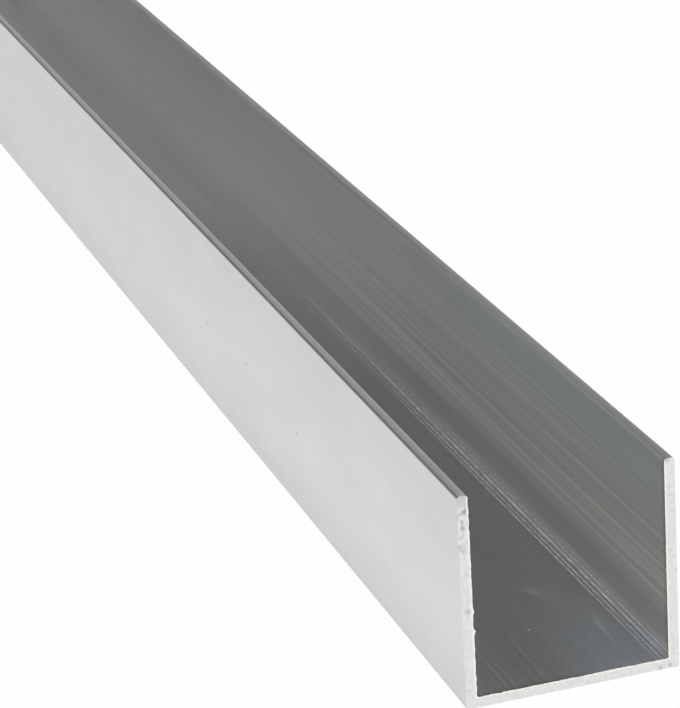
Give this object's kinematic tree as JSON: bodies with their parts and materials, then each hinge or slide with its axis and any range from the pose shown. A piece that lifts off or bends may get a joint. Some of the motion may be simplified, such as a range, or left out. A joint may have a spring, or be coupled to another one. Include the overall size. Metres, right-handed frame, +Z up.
{
  "type": "aluminium u-channel",
  "caption": "Straight aluminium extrusion of U section, a flat base with equal upright legs, open on top and at both sawn ends, for edging panels, guiding sliders and making frames.",
  "frame": {"origin": "middle of the base's underside, half-way along the bar", "axes": "+Y along the length, with the sawn end that the picture shows at -Y; +X across the channel; +Z up, out of its open side"},
  "size_m": [0.04, 1, 0.04],
  "materials": {
    "mill_aluminium": "mill finish as extruded, with fine die lines along the length and sawn ends"
  },
  "bodies": {
    "root": {"u_channel": "mill_aluminium"}
  },
  "joints": []
}
